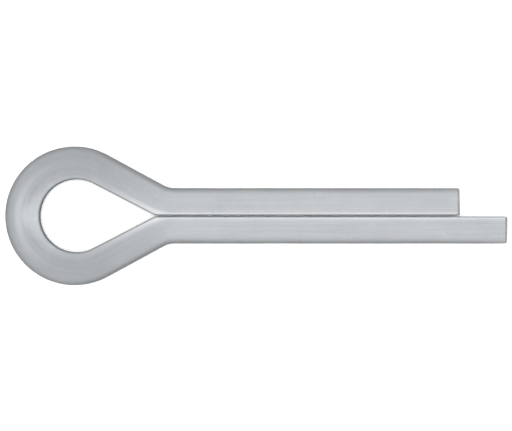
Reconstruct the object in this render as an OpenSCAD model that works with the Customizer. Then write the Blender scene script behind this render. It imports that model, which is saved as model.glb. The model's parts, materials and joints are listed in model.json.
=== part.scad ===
// Cotter pin: one length of half-round wire folded into an eye, its two prongs lying flat to flat
// as a split round shank. It lies on its side, in millimetres: +X runs from the eye to the prong
// tips, +Z is up, and the origin is on the shank's axis where the neck ends and the shank is round.

/* [Shank] */
// Diameter of the closed shank
shankDiameter = 4.6; // [4.4:0.1:4.8]
// Round shank from the neck to the end of the short prong
shortProng = 23.57; // [8:0.01:60]
// How far the long prong passes the short one
extension = 3.93; // [1:0.01:8]
// Gap between the flats of the two prongs
splitGap = 0.1; // [0.06:0.02:0.2]
// Chamfer round each sheared end
endBreak = 0.12; // [0.06:0.06:0.3]

/* [Eye] */
// Outside width of the eye
eyeWidth = 11.5; // [11.2:0.1:12]
// Depth of the wire at the crown, from its round side to its flat
crownDepth = 2.9; // [2.8:0.05:3]
// Radius of the opening
openingRadius = 3.02; // [2.9:0.02:3.1]
// Slope of the arms along the outside
armAngle = 28.5; // [28.1:0.1:28.7]
// Slope of the arms along the opening
innerAngle = 27.3; // [27:0.3:27.6]
// Bend radius on the outside of the neck
neckRadius = 1.9; // [1.5:0.1:2.2]
// Bend radius of the flats where the split opens into the eye
tipRadius = 2; // [1:0.5:2.5]

/* [Wire] */
// Radius of the corners between the flat and the round side
cornerRadius = 0.12; // [0.06:0.02:0.16]

/* [Hidden] */
$fn = 120;
wireRadius = shankDiameter / 2;
outerRadius = eyeWidth / 2;
// The wire's round side is centred on a path that runs one wire radius inside the outline.
crownAxis = outerRadius - wireRadius;
neckAxis = neckRadius + wireRadius;
armLength = ((outerRadius + neckRadius) * cos(armAngle) - neckAxis) / sin(armAngle);
eyeX = -armLength * cos(armAngle) - (outerRadius + neckRadius) * sin(armAngle);
openingX = eyeX - outerRadius + crownDepth + openingRadius;
halfGap = splitGap / 2;
// Where the opening's straight side would meet the flat of the prong
creaseX = openingX + (openingRadius - halfGap * cos(innerAngle)) / sin(innerAngle);
tipBend = tipRadius * tan(innerAngle / 2);
// How much larger than its face a cutter's arc is, so that the two never share an edge
tipClear = 1.0005;
cornerClear = 1.01;
// How far a sector, band or cutter runs past the face that trims it
sectorSpare = 5;
spare = 1;
// Side of the blocks that trim along a plane, over twice as long as the longest pin
reach = 200;

// Half-round wire with its round side at +X and straight flanks running inwards.
module section() {
    intersection() {
        circle(r = wireRadius);
        translate([0, -wireRadius]) square([wireRadius, shankDiameter]);
    }
    translate([-spare, -wireRadius]) square([spare, shankDiameter]);
}

// Takes a drawing in X and Y to one in Y and Z, extruded along +X.
module along(length) {
    rotate([90, 0, 90]) linear_extrude(length) children();
}

// What lies on the +Y side of a plane.
module beyond(planeY) {
    intersection() {
        children();
        translate([-reach / 2, planeY, -reach / 2]) cube(reach);
    }
}

// Revolves a drawing about the eye, from one arm to where the other begins.
module roundEye(angle) {
    difference() {
        rotate([0, 0, -angle]) rotate([0, 0, 90]) rotate_extrude(angle = 180 + 2 * angle + sectorSpare)
            children();
        rotate([0, 0, angle]) translate([0, -reach, -reach / 2]) cube(reach);
    }
}

module crown() {
    roundEye(armAngle) translate([crownAxis, 0]) section();
}

module arm() {
    translate([0, crownAxis, 0]) along(armLength) section();
}

// The neck turns the wire back in line with the shank, its round side on the inside of the bend.
module neck() {
    intersection() {
        rotate([0, 0, 270]) rotate_extrude(angle = armAngle + sectorSpare)
            translate([neckAxis, 0]) mirror([1, 0]) section();
        rotate([0, 0, armAngle]) translate([-reach, -reach / 2, -reach / 2]) cube(reach);
    }
}

module prong(length) {
    rotate([0, 90, 0]) {
        cylinder(h = length - endBreak, r = wireRadius);
        translate([0, 0, length - endBreak])
            cylinder(h = endBreak, r1 = wireRadius, r2 = wireRadius - endBreak);
    }
}

// A teardrop whose tip eases into the split.
module openingOutline() {
    translate([openingX, 0]) circle(r = openingRadius);
    for (side = [0, 1]) mirror([0, side]) {
        polygon([[openingX, 0],
            [openingX + openingRadius * sin(innerAngle), openingRadius * cos(innerAngle)],
            [creaseX, halfGap], [creaseX, 0]]);
        difference() {
            polygon([[creaseX - tipBend * cos(innerAngle), halfGap + tipBend * sin(innerAngle)],
                [creaseX + tipBend, halfGap], [creaseX + tipBend, 0],
                [creaseX - tipBend * cos(innerAngle), 0]]);
            translate([creaseX + tipBend, halfGap + tipRadius]) circle(r = tipRadius * tipClear);
        }
    }
}

module opening() {
    translate([0, 0, -wireRadius - spare]) linear_extrude(shankDiameter + 2 * spare) openingOutline();
}

// Waste outside a rounded corner whose two faces run along +X and -Y from the origin.
module cornerWaste() {
    difference() {
        translate([-cornerRadius, -cornerRadius]) square(2 * cornerRadius);
        translate([cornerRadius, -cornerRadius]) circle(r = cornerRadius * cornerClear);
    }
}

// The flat's upper corners: round the opening, down the arms and along the prongs.
module corners() {
    translate([openingX, 0, 0]) roundEye(innerAngle) translate([openingRadius, 0]) cornerWaste();
    for (side = [0, 1]) mirror([0, side, 0]) beyond(0) {
        translate([openingX, 0, 0]) rotate([0, 0, -innerAngle]) translate([0, openingRadius, 0])
            along(creaseX - openingX) cornerWaste();
        translate([creaseX, halfGap, 0]) along(reach) cornerWaste();
    }
}

// An arm and its prong, on the +Y side of the split.
module leg(length) {
    beyond(halfGap) rotate([0, 0, -armAngle]) {
        arm();
        translate([armLength, crownAxis + neckAxis, 0]) {
            neck();
            rotate([0, 0, armAngle]) translate([0, -neckAxis, 0]) prong(length);
        }
    }
}

module pin() {
    color([0.7, 0.71, 0.72]) difference() {
        translate([eyeX, 0, 0]) {
            crown();
            leg(shortProng);
            mirror([0, 1, 0]) leg(shortProng + extension);
        }
        opening();
        for (up = [0, 1]) mirror([0, 0, up]) translate([0, 0, wireRadius]) corners();
    }
}

pin();
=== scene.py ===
import json
import math
from types import SimpleNamespace

import bpy
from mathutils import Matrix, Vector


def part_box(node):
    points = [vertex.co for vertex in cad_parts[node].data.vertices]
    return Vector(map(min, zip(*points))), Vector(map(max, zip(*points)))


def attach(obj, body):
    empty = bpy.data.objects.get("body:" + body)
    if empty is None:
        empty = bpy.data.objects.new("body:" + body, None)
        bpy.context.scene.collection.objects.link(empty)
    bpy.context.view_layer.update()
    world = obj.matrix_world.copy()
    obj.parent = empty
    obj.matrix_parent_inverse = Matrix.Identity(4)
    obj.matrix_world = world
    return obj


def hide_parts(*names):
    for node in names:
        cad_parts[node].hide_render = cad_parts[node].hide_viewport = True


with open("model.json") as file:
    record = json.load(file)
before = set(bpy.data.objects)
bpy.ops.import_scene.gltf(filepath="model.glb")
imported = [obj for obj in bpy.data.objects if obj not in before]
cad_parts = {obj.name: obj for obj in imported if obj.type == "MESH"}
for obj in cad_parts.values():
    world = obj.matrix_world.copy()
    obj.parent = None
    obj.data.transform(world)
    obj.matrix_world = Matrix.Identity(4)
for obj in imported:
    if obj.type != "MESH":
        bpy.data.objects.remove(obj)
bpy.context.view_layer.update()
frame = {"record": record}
mm = 0.001
low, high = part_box("pin")
shank = next(mount for mount in frame["record"]["mounts"] if mount["name"] == "shank")
print("frame loaded, pin is", round((high.x - low.x) / mm, 2), "mm long")


# A socket that can stand in a sum, so that each formula below reads as one.
class Field:
    def __init__(self, tree, socket):
        self.tree = tree
        self.socket = socket

    def math(self, operation, *others):
        terms = dict(enumerate((self,) + others))
        return addNode(self.tree, "ShaderNodeMath", terms, operation=operation)

    def __add__(self, other):
        return self.math("ADD", other)

    def __sub__(self, other):
        return self.math("SUBTRACT", other)

    def __rsub__(self, other):
        return self.math("MULTIPLY_ADD", -1.0, other)

    def __mul__(self, other):
        return self.math("MULTIPLY", other)

    def __truediv__(self, other):
        return self.math("DIVIDE", other)

    __radd__ = __add__


# Settings come first, because they decide which sockets a node has.
def addNode(tree, kind, inputs, output=0, **settings):
    node = tree.nodes.new(kind)
    for name, value in settings.items():
        setattr(node, name, value)
    for name, value in inputs.items():
        if isinstance(value, Field):
            tree.links.new(value.socket, node.inputs[name])
        else:
            node.inputs[name].default_value = value
    return Field(tree, node.outputs[output])


def sine(a):
    return a.math("SINE")


def cosine(a):
    return a.math("COSINE")


def root(a):
    return a.math("SQRT")


def absolute(a):
    return a.math("ABSOLUTE")


def least(a, b):
    return a.math("MINIMUM", b)


def most(a, b):
    return a.math("MAXIMUM", b)


def between(a, top):
    return least(most(a, 0.0), top)


def isLess(a, b):
    return a.math("LESS_THAN", b)


# 1 for the whole numbers from first to last.
def inRange(a, first, last):
    return a.math("GREATER_THAN", first - 0.5) * isLess(a, last + 0.5)


def choose(test, yes, no):
    return test * yes + (1 - test) * no


# 0 up to start, 1 from end on, and a straight climb between.
def ramp(a, start, end):
    return between((a - start) / (end - start), 1.0)


def vectorOf(tree, x, y, z):
    return addNode(tree, "ShaderNodeCombineXYZ", {"X": x, "Y": y, "Z": z})


def splitVector(vector):
    first = addNode(vector.tree, "ShaderNodeSeparateXYZ", {"Vector": vector})
    return [Field(vector.tree, socket) for socket in first.socket.node.outputs]


def scaled(vector, factor):
    inputs = {0: vector, "Scale": factor}
    return addNode(vector.tree, "ShaderNodeVectorMath", inputs, operation="SCALE")


# Detail and roughness of a noise, from one soft swell to many broken lumps.
swelling = (1.0, 0.4)
lumpy = (2.0, 0.5)
broken = (3.0, 0.6)
cloudy = (4.0, 0.6)
noiseMiddle = 0.5


def noiseOf(vector, character, seed=0.0):
    detail, rough = character
    settings = {"Vector": vector, "W": seed, "Scale": 1.0, "Detail": detail, "Roughness": rough}
    return addNode(vector.tree, "ShaderNodeTexNoise", settings, "Fac", noise_dimensions="4D")


# The pin is one half-round wire, and geometry nodes sweep it from the short tip, round the eye, to
# the long tip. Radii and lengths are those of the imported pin, apart from its corners and tips.
wireShape = {
    "neckRadius": 1.9 * mm,       # outside of the bend where an arm meets its prong
    "armSlope": 28.5,             # degrees, along the outside
    "openingRadius": 3.02 * mm,
    "openingSlope": 27.3,         # degrees, along the flats that face the opening
    "crownDepth": 2.9 * mm,       # round side to flat at the crown
    "tipStep": 3.93 * mm,         # long prong past the short one
    "splitGap": 0.1 * mm,
    "cornerRadius": 0.08 * mm,
    "creaseBlend": 0.12 * mm,     # how softly the flats turn into the split
    "endRound": 0.13 * mm,        # edge that the shear rolled over
    "cutLine": 0.15,              # how high the torn part of a cut end reaches, of the wire's radius
    "cutWander": 0.7,             # how far that line strays
    "cutStep": 0.05 * mm,         # how far the torn part lies back
    "cutRough": 0.09 * mm,        # how far its chips rise and fall
    "chipScale": 1600.0,          # chips, strays and waves to a metre
    "wanderScale": 900.0,
    "waveScale": 300.0,
    "unevenness": 0.03 * mm,
    "seed": 4.0,
    "rings": 640,
    "sides": 80,
}

faceRings = 14                    # rings across a cut end
edgeRings = 6                     # and round its rolled edge
roundSteps = 26                   # points from the middle of a section's round side to its corner
cornerSteps = 6                   # and round that corner
centroidShare = 0.45              # from the flat to the round side, about where a section's middle is
closedShare = 0.02                # how small the innermost ring of a cut end is
rimShare = 0.16                   # how far in from the rim of a cut end the tear reaches its full step
tornBlend = 0.07                  # how softly the tear starts at the cut line, of the wire's radius
chipBase = 0.35                   # noise that leaves the torn part at its step
waveTop = 0.9                     # more than the waves' noise ever reaches
quarter = math.pi / 2             # of a turn, in radians


def openTree(name, numbers, counts):
    tree = bpy.data.node_groups.new(name, "GeometryNodeTree")
    tree.is_modifier = True
    sockets = tree.interface
    sockets.new_socket("Geometry", in_out="INPUT", socket_type="NodeSocketGeometry")
    sockets.new_socket("Geometry", in_out="OUTPUT", socket_type="NodeSocketGeometry")
    for number in numbers:
        sockets.new_socket(number, in_out="INPUT", socket_type="NodeSocketFloat")
    for count in counts:
        sockets.new_socket(count, in_out="INPUT", socket_type="NodeSocketInt")
    sockets.new_socket("material", in_out="INPUT", socket_type="NodeSocketMaterial")
    entry = tree.nodes.new("NodeGroupInput")
    names = numbers + counts + ("material",)
    return tree, SimpleNamespace(**{each: Field(tree, entry.outputs[each]) for each in names})


# A curve, with its points' numbers kept to be read on the swept surface.
def numbered(curve):
    keep = curve.tree.nodes.new("GeometryNodeCaptureAttribute")
    keep.capture_items.new("FLOAT", "number")
    index = addNode(curve.tree, "GeometryNodeInputIndex", {})
    curve.tree.links.new(curve.socket, keep.inputs["Geometry"])
    curve.tree.links.new(index.socket, keep.inputs["number"])
    return Field(curve.tree, keep.outputs["Geometry"]), Field(curve.tree, keep.outputs["number"])


# A plain tube of the right number of faces. Each point then goes to its place by its two numbers.
def plainTube(tree, given):
    line = addNode(tree, "GeometryNodeCurvePrimitiveLine", {})
    path = addNode(tree, "GeometryNodeResampleCurve", {"Curve": line, "Count": given.rings})
    circle = addNode(tree, "GeometryNodeCurvePrimitiveCircle", {"Resolution": given.sides})
    path, ring = numbered(path)
    circle, side = numbered(circle)
    sweep = {"Curve": path, "Profile Curve": circle, "Fill Caps": True}
    tube = addNode(tree, "GeometryNodeCurveToMesh", sweep)
    return addNode(tree, "GeometryNodeFlipFaces", {"Mesh": tube}), ring, side


# Lengths along the wire are 0 at the crown, negative towards the short tip. The wire counts as bent
# all round the crown, and less and less down the arms to the ends of the necks.
def lengthsOf(given, ring):
    crown = given.crownAxis * (given.armSlope + quarter)
    neck = given.neckAxis * given.armSlope
    bends = crown + given.armLength + neck
    fromEnd = least(ring, given.rings - 1 - ring)
    inFace = ramp(fromEnd, 0.0, faceRings)
    edgeTurn = ramp(fromEnd, faceRings, faceRings + edgeRings) * quarter
    tipEdge = inRange(fromEnd, faceRings, faceRings + edgeRings)
    share = ramp(ring, faceRings + edgeRings, given.rings - 1 - faceRings - edgeRings)
    endward = share * 2 - 1
    whole = bends * 2 + given.shortProng + given.longProng - given.endRound * 2
    start = given.endRound - bends - given.shortProng
    along = start + whole * share + given.endRound * (1 - sine(edgeTurn)) * endward.math("SIGN")
    away = absolute(along)
    bent = 1 - ramp(away, crown, bends)
    rolled = given.endRound * (1 - cosine(edgeTurn - quarter))
    return SimpleNamespace(crown=crown, bends=bends, along=along, away=away, inFace=inFace, bent=bent,
                           tipEdge=tipEdge, rolled=rolled)


# Where the path is, and which way is outwards there.
def bendAt(given, length):
    crownTurn = least(length.away, length.crown) / given.crownAxis
    armRun = between(length.away - length.crown, given.armLength)
    neckTurn = between(length.away - length.crown - given.armLength, given.neckAxis * given.armSlope)
    neckTurn = neckTurn / given.neckAxis
    left = given.armSlope - neckTurn
    x = (given.eyeX - given.crownAxis * cosine(crownTurn) + armRun * cosine(given.armSlope)
         + given.neckAxis * (sine(given.armSlope) - sine(left))
         + most(length.away - length.bends, 0.0))
    y = (given.crownAxis * sine(crownTurn) - armRun * sine(given.armSlope)
         + given.neckAxis * (cosine(given.armSlope) - cosine(left)))
    outward = quarter * 2 - crownTurn + neckTurn
    return SimpleNamespace(x=x, y=y, outX=cosine(outward), outY=sine(outward), armRun=armRun)


# How far outwards from the path the flat side lies: round the opening's end, then along its straight
# side, then beside the split.
def flatAt(given, length, bend):
    shift = given.openingX - given.eyeX
    slope = given.openingSlope
    sideways = shift * bend.outY
    crown = shift * bend.outX + root(given.openingRadius * given.openingRadius - sideways * sideways)
    spread = given.armSlope - slope
    arm = (given.openingRadius + shift * sine(slope) + bend.armRun * sine(spread)) / cosine(spread)
    reach = given.neckAxis * cosine(slope) - given.openingX * sine(slope) - given.openingRadius
    toOpening = reach / (bend.outX * sine(slope) + bend.outY * cosine(slope))
    toSplit = (given.neckAxis - given.halfGap) / bend.outY
    neck = given.neckAxis - toOpening.math("SMOOTH_MIN", toSplit, given.creaseBlend)
    inArm = choose(isLess(length.away, length.crown + given.armLength), arm - given.crownAxis, neck)
    return choose(isLess(length.away, length.crown), crown - given.crownAxis, inArm)


# A section point, counted both ways from the middle of the round side: half round with a short
# flank, rounded corner, flat.
def sectionAt(given, side, flat):
    half = given.sides / 2
    step = absolute(side - half)
    cornerShare = ramp(step, roundSteps, roundSteps + cornerSteps)
    flatShare = between((step - roundSteps - cornerSteps) / (half - roundSteps - cornerSteps), 1.0)
    cornerX = flat + given.cornerRadius
    roundLength = (most(cornerX, 0.0) / given.wireRadius).math("ARCCOSINE") * given.wireRadius
    run = ramp(step, 0.0, roundSteps) * (roundLength - least(cornerX, 0.0))
    roundTurn = least(run, roundLength) / given.wireRadius
    cornerTurn = cornerShare * quarter
    x = (given.wireRadius * cosine(roundTurn) - most(run - roundLength, 0.0)
         - given.cornerRadius * sine(cornerTurn))
    z = given.wireRadius * sine(roundTurn) - given.cornerRadius * (1 - cosine(cornerTurn))
    z = z * (1 - flatShare) * (side - half).math("SIGN")
    corner = inRange(step, roundSteps, roundSteps + cornerSteps)
    return SimpleNamespace(x=x, z=z, onFlat=cornerShare, corner=corner)


def keepOn(geometry, name, value, kind="FLOAT"):
    inputs = {"Geometry": geometry, "Name": name, "Value": value}
    return addNode(geometry.tree, "GeometryNodeStoreNamedAttribute", inputs, data_type=kind)


def wireTree():
    numbers = ("wireRadius", "crownAxis", "eyeX", "armSlope", "armLength", "neckAxis", "shortProng",
               "longProng", "openingX", "openingRadius", "openingSlope", "halfGap", "cornerRadius",
               "creaseBlend", "endRound", "cutLine", "cutWander", "cutStep", "cutRough", "chipScale",
               "wanderScale", "waveScale", "unevenness", "seed")
    tree, given = openTree("bentWire", numbers, ("rings", "sides"))
    wire, ring, side = plainTube(tree, given)
    length = lengthsOf(given, ring)
    bend = bendAt(given, length)
    flat = flatAt(given, length, bend)
    section = sectionAt(given, side, flat)

    # The section draws in round a tip's edge, then closes over its cut end.
    middleX = (flat + given.wireRadius) * centroidShare
    drawnIn = (1 - length.rolled / given.wireRadius) * most(length.inFace, closedShare)
    sectionX = middleX + (section.x - middleX) * drawnIn
    sectionZ = section.z * drawnIn

    # A shear leaves the upper part of the end smooth and tears the rest, a little further back.
    cutEnd = 1 - length.inFace.math("FLOOR")
    onEnd = vectorOf(tree, sectionX, sectionZ, length.along)
    chips = noiseOf(scaled(onEnd, given.chipScale), broken, given.seed)
    acrossEnd = vectorOf(tree, sectionX, 0.0, length.along)
    stray = noiseOf(scaled(acrossEnd, given.wanderScale), lumpy, given.seed)
    aboveLine = sectionZ / given.wireRadius + (stray - noiseMiddle) * given.cutWander - given.cutLine
    torn = 1 - ramp(aboveLine, -tornBlend, tornBlend)
    tear = given.cutStep + (chips - chipBase) * given.cutRough
    back = torn * tear * ramp(1 - length.inFace, 0.0, rimShare)
    mirrored = isLess(length.along, 0.0) * 2 - 1
    place = vectorOf(tree, bend.x + bend.outX * sectionX - most(back, 0.0),
                     (bend.y + bend.outY * sectionX) * mirrored, sectionZ)
    wire = addNode(tree, "GeometryNodeSetPosition", {"Geometry": wire, "Position": place})

    # Kept for the finish: the place in the wire, and which parts are bent, on the flat side, cut or
    # torn, and which edges are sharp, where the finish paints shade.
    wire = keepOn(wire, "wire", vectorOf(tree, length.along, sectionX, sectionZ), "FLOAT_VECTOR")
    marks = {
        "bent": length.bent,
        "onFlat": section.onFlat,
        "sharp": most(section.corner * (1 - cutEnd), length.tipEdge),
        "cutEnd": cutEnd,
        "torn": torn * cutEnd,
    }
    for name, value in marks.items():
        wire = keepOn(wire, name, value)

    # Drawn and bent wire is never quite even. The waves only cut into it, so that it keeps its size.
    position = addNode(tree, "GeometryNodeInputPosition", {})
    normal = addNode(tree, "GeometryNodeInputNormal", {})
    waves = noiseOf(scaled(position, given.waveScale), lumpy, given.seed)
    lift = scaled(normal, (waves - waveTop) * given.unevenness)
    wire = addNode(tree, "GeometryNodeSetPosition", {"Geometry": wire, "Offset": lift})
    wire = addNode(tree, "GeometryNodeSetShadeSmooth", {"Geometry": wire, "Shade Smooth": True})
    wire = addNode(tree, "GeometryNodeRealizeInstances", {"Geometry": wire})
    wire = addNode(tree, "GeometryNodeSetMaterial", {"Geometry": wire, "Material": given.material})
    leave = tree.nodes.new("NodeGroupOutput")
    tree.links.new(wire.socket, leave.inputs["Geometry"])
    return tree


def wireInputs(material):
    shape = wireShape
    wireRadius = shank["dims"]["r_mm"] * mm
    outerRadius = (high.y - low.y) / 2
    slope = math.radians(shape["armSlope"])
    reach = outerRadius + shape["neckRadius"]
    neckAxis = shape["neckRadius"] + wireRadius
    armLength = (reach * math.cos(slope) - neckAxis) / math.sin(slope)
    eyeX = -armLength * math.cos(slope) - reach * math.sin(slope)
    worked = {
        "wireRadius": wireRadius,
        "crownAxis": outerRadius - wireRadius,
        "neckAxis": neckAxis,
        "armSlope": slope,
        "armLength": armLength,
        "eyeX": eyeX,
        "shortProng": high.x - shape["tipStep"],
        "longProng": high.x,
        "openingX": eyeX - outerRadius + shape["crownDepth"] + shape["openingRadius"],
        "openingSlope": math.radians(shape["openingSlope"]),
        "halfGap": shape["splitGap"] / 2,
        "material": material,
    }
    return {**shape, **worked}


def bendWire(material):
    start = bpy.data.objects.new("straightWire", bpy.data.meshes.new("straightWire"))
    bpy.context.scene.collection.objects.link(start)
    modifier = start.modifiers.new("bentWire", "NODES")
    modifier.node_group = wireTree()
    values = wireInputs(material)
    for item in modifier.node_group.interface.items_tree:
        if item.in_out == "INPUT" and item.name in values:
            modifier[item.identifier] = values[item.name]
    view = bpy.context.evaluated_depsgraph_get()
    mesh = bpy.data.meshes.new_from_object(start.evaluated_get(view), depsgraph=view)
    bpy.data.objects.remove(start)
    piece = bpy.data.objects.new("bent_wire", mesh)
    bpy.context.scene.collection.objects.link(piece)
    return piece


# Satin zinc plate over drawn wire, darker and a little rougher round the eye, where the wire is bent.
# Along its sharp edges by the split and the opening, and round the rims of the tips, it is rougher,
# and darker with painted shade. Streaks and hairlines run along the wire, and clouds, scuffs and pits
# lie over them. Each effect says how much it adds to the tone, the roughness and the relief.
zincLook = {
    "darkest": (0.330, 0.344, 0.362),
    "light": (0.744, 0.766, 0.787),
    "tone": 0.875,                # from dull to light, before the effects
    "roughness": 0.30,
    "reliefDepth": 0.01 * mm,
    "effects": {
        "streaks": {"tone": 0.35, "rough": 0.12, "relief": 0.45},
        "hairlines": {"tone": 0.18, "relief": 0.12},
        "clouds": {"tone": 0.29, "rough": 0.16},
        "scuffs": {"tone": 0.08, "rough": -0.05, "relief": -0.2},
        "pits": {"tone": -0.07, "relief": -0.3},
        "grain": {"relief": 0.12},
        "peel": {"relief": 0.2},
        "bent": {"tone": -0.41, "rough": 0.04},
        "bentPeel": {"relief": 0.4},
        "onFlat": {"tone": -0.06, "rough": 0.06},
        # painted shade darkens the sharp edges and the rims of the tips, which are also rougher
        "sharp": {"tone": -0.54, "rough": 0.1},
        "torn": {"tone": -0.23, "rough": 0.2},
        "tornGrain": {"relief": 1.2},
    },
    "edgeShadeFade": 2.6,                   # how steeply the painted edge shade and the roughness fade away from an edge
    "streakScale": (90.0, 4200.0),      # to a metre, along the wire and across it
    "hairlineScale": (260.0, 15000.0),
    "cloudScale": 420.0,
    "peelScale": 1500.0,
    "grainScale": 5200.0,
    "pitScale": 700.0,
    "scuffSlant": (900.0, 700.0, 260.0, -120.0, 300.0),
    "scuffWidth": (0.004, 0.016),
    "scuffPatches": (0.0, 0.12),        # where the clouds let scuffs show, and the peel lets pits
    "pitWidth": (0.05, 0.16),
    "pitPatches": (0.55, 0.65),
}


# What the wire's own places and marks say at each point.
def wireMarks(tree):
    def kept(name, output="Fac"):
        return addNode(tree, "ShaderNodeAttribute", {}, output, attribute_name=name)

    along, out, up = splitVector(kept("wire", "Vector"))
    return SimpleNamespace(along=along, out=out, up=up, bent=kept("bent"), torn=kept("torn"),
                           onFlat=kept("onFlat"), sharp=kept("sharp"), drawn=1 - kept("cutEnd"))


def zincEffects(tree):
    look = zincLook
    marks = wireMarks(tree)
    position = addNode(tree, "ShaderNodeTexCoord", {}, "Object")

    def lines(scales):
        lengthways, across = scales
        place = vectorOf(tree, marks.along * lengthways, marks.out * across, marks.up * across)
        return (noiseOf(place, broken) - noiseMiddle) * marks.drawn

    clouds = noiseOf(scaled(position, look["cloudScale"]), cloudy) - noiseMiddle
    grain = noiseOf(scaled(position, look["grainScale"]), lumpy)
    peel = noiseOf(scaled(position, look["peelScale"]), lumpy)
    xByAlong, xByUp, yByOut, yByAlong, zByUp = look["scuffSlant"]
    slanted = vectorOf(tree, marks.along * xByAlong + marks.up * xByUp,
                       marks.out * yByOut + marks.along * yByAlong, marks.up * zByUp)
    scuffs = 1 - ramp(absolute(noiseOf(slanted, swelling) - noiseMiddle), *look["scuffWidth"])
    pitPlace = {"Vector": scaled(position, look["pitScale"]), "Scale": 1.0}
    cells = addNode(tree, "ShaderNodeTexVoronoi", pitPlace)
    pits = 1 - ramp(cells, *look["pitWidth"])
    return {
        "streaks": lines(look["streakScale"]),
        "hairlines": lines(look["hairlineScale"]),
        "clouds": clouds,
        "scuffs": scuffs * ramp(clouds, *look["scuffPatches"]),
        "pits": pits * ramp(peel, *look["pitPatches"]),
        "grain": grain,
        "peel": peel,
        "bent": marks.bent,
        "bentPeel": peel * marks.bent,
        "onFlat": marks.onFlat,
        # painted shade along the sharp edges and the rims of the tips
        "sharp": marks.sharp.math("POWER", look["edgeShadeFade"]),
        "torn": marks.torn,
        "tornGrain": grain * marks.torn,
    }


# Adds up what every effect gives to one side of the finish.
def summed(effects, kind, start):
    total = start
    for name, weights in zincLook["effects"].items():
        if kind in weights:
            total = effects[name] * weights[kind] + total
    return total


def zincPlate():
    look = zincLook
    material = bpy.data.materials.new("zincPlate")
    material.use_nodes = True
    tree = material.node_tree
    shader = tree.nodes["Principled BSDF"]
    shader.inputs["Metallic"].default_value = 1.0
    effects = zincEffects(tree)
    mix = {
        "Factor": between(summed(effects, "tone", look["tone"]), 1.0),
        "A": look["darkest"] + (1.0,),
        "B": look["light"] + (1.0,),
    }
    colour = addNode(tree, "ShaderNodeMix", mix, "Result", data_type="RGBA")
    height = summed(effects, "relief", 0.0)
    relief = {"Height": height, "Strength": 1.0, "Distance": look["reliefDepth"]}
    bump = addNode(tree, "ShaderNodeBump", relief)
    tree.links.new(colour.socket, shader.inputs["Base Color"])
    tree.links.new(summed(effects, "rough", look["roughness"]).socket, shader.inputs["Roughness"])
    tree.links.new(bump.socket, shader.inputs["Normal"])
    return material


pin = bendWire(zincPlate())
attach(pin, "root")
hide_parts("pin")
print("wire bent:", len(pin.data.polygons), "faces")


# The floor is a white table lit from straight above, and the room round it is soft. The camera sees
# the table white, while the metal mirrors it darker, with painted shade that deepens towards the pin.
studio = {
    "floorSize": 8.0,
    "floorTone": 0.8,
    "floorRoughness": 0.9,
    "floorMirrored": 0.40,    # painted shade: how light the floor is where the metal mirrors it
    "contactReach": 12 * mm,  # and how far and how deeply the painted shade darkens it round the pin
    "contactDepth": 3.4,
    "contactLeast": 0.42,
    "roomColour": (0.985, 0.995, 1.0),
    "keyStrength": 3.6,
    "keySpread": 8.0,         # degrees
    "zenith": 0.79,
    "horizon": 0.80,          # beyond the pin's long sides
    "eyeGlow": 0.68,          # more beyond the eye, and less beyond the tips
    "tipGlow": -0.34,
    "glowFade": 4.0,          # an even number: how quickly both fade towards the long sides
    "glowRise": 2.8,          # how quickly both set in above the level of the table
    "stripSize": (60 * mm, 3.4 * mm),
    "stripHeight": 13 * mm,
    "stripPower": 0.00044,    # watts
    "lens": 700.0,            # long, so that the sides of the pin hardly show from above
    "sensor": 36.0,
    "farthest": 10.0,
    "frameWidth": 42.38 * mm,
    "cameraShift": 0.03 * mm,
}

nearlyNone = 0.001            # keeps a division from being by zero


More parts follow.
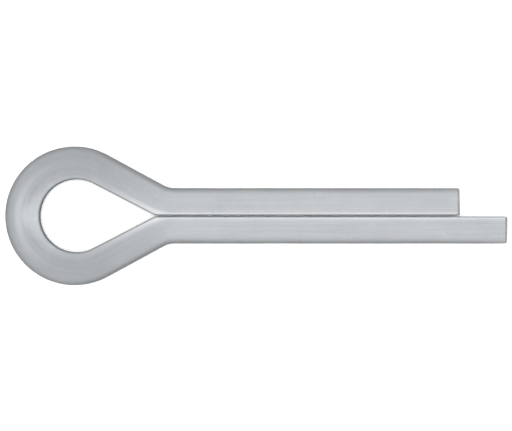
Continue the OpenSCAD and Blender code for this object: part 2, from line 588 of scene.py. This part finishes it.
def layFloor():
    half = studio["floorSize"] / 2
    mesh = bpy.data.meshes.new("floor")
    corners = [(x * half, y * half, low.z) for x, y in ((-1, -1), (1, -1), (1, 1), (-1, 1))]
    mesh.from_pydata(corners, [], [(0, 1, 2, 3)])
    floor = bpy.data.objects.new("floor", mesh)
    bpy.context.scene.collection.objects.link(floor)
    material = bpy.data.materials.new("whiteTable")
    material.use_nodes = True
    tree = material.node_tree
    shader = tree.nodes["Principled BSDF"]
    shader.inputs["Roughness"].default_value = studio["floorRoughness"]
    shader.inputs["Specular IOR Level"].default_value = 0.0
    # Painted shade: the metal mirrors the table darker than the camera sees it, and darker still where
    # it is occluded close to the pin.
    seen = addNode(tree, "ShaderNodeLightPath", {}, "Is Camera Ray")
    near = addNode(tree, "ShaderNodeAmbientOcclusion", {"Distance": studio["contactReach"]}, "AO")
    mirrored = most(near.math("POWER", studio["contactDepth"]), studio["contactLeast"])
    mirrored = mirrored * studio["floorMirrored"]
    tone = choose(seen, studio["floorTone"], mirrored)
    tree.links.new(tone.socket, shader.inputs["Base Color"])
    mesh.materials.append(material)


def addLight(name, kind, **settings):
    data = bpy.data.lights.new(name, kind)
    for setting, value in settings.items():
        setattr(data, setting, value)
    light = bpy.data.objects.new(name, data)
    bpy.context.scene.collection.objects.link(light)
    return light


def lightRoom():
    world = bpy.data.worlds.new("softRoom")
    world.use_nodes = True
    tree = world.node_tree
    x, y, z = splitVector(addNode(tree, "ShaderNodeTexCoord", {}, "Generated"))
    across = absolute(y) / most(root(y * y + z * z), nearlyNone)
    endGlow = choose(isLess(x, 0.0), studio["eyeGlow"], studio["tipGlow"])
    endward = x.math("POWER", studio["glowFade"]) * between(z * studio["glowRise"], 1.0)
    strength = studio["zenith"] + across * (studio["horizon"] - studio["zenith"]) + endward * endGlow
    background = tree.nodes["Background"]
    tree.links.new(strength.socket, background.inputs["Strength"])
    background.inputs["Color"].default_value = studio["roomColour"] + (1.0,)
    bpy.context.scene.world = world
    spread = math.radians(studio["keySpread"])
    key = addLight("tableKey", "SUN", energy=studio["keyStrength"], angle=spread)
    key.visible_glossy = False    # it lights the table only

    # A small strip close over the split makes the metal lightest along the middle.
    stripLength, stripWidth = studio["stripSize"]
    strip = addLight("strip", "AREA", shape="RECTANGLE", size=stripLength, size_y=stripWidth,
                     energy=studio["stripPower"])
    strip.location = ((low.x + high.x) / 2, 0.0, studio["stripHeight"])
    strip.visible_camera = False


def aimCamera():
    data = bpy.data.cameras.new("camera")
    data.lens = studio["lens"]
    data.sensor_width = studio["sensor"]
    data.clip_end = studio["farthest"]
    camera = bpy.data.objects.new("camera", data)
    bpy.context.scene.collection.objects.link(camera)
    distance = studio["frameWidth"] * data.lens / data.sensor_width
    camera.location = ((low.x + high.x) / 2, studio["cameraShift"], distance)
    bpy.context.scene.camera = camera


layFloor()
lightRoom()
aimCamera()
bpy.context.scene.view_settings.view_transform = "Standard"
print("studio set")
